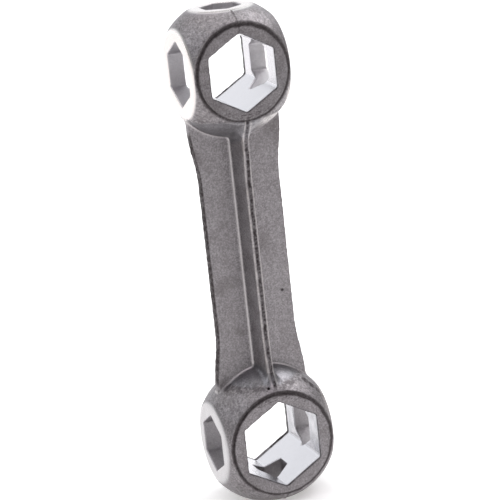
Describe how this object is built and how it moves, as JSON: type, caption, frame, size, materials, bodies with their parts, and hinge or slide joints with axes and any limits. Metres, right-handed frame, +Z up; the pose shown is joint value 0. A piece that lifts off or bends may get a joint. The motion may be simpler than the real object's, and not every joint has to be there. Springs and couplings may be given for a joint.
{
  "type": "ball-ended multi-socket hexagon spanner",
  "caption": "One-piece cast spanner: a ball-shaped head at each end of a flat ribbed shank, with a hexagon socket in every flat of each head.",
  "frame": {"origin": "centre of the large head's end flat, on which the spanner stands", "axes": "+Z up along the shank to the small head, +X across the width, front flats and front rib at -Y"},
  "size_m": [0.0226, 0.018, 0.0982],
  "materials": {
    "cast_metal": "bare as-cast zinc alloy, satin and slightly rough"
  },
  "bodies": {
    "root": {"large_head": "cast_metal", "small_head": "cast_metal", "web": "cast_metal", "front_rib": "cast_metal", "back_rib": "cast_metal"}
  },
  "joints": []
}
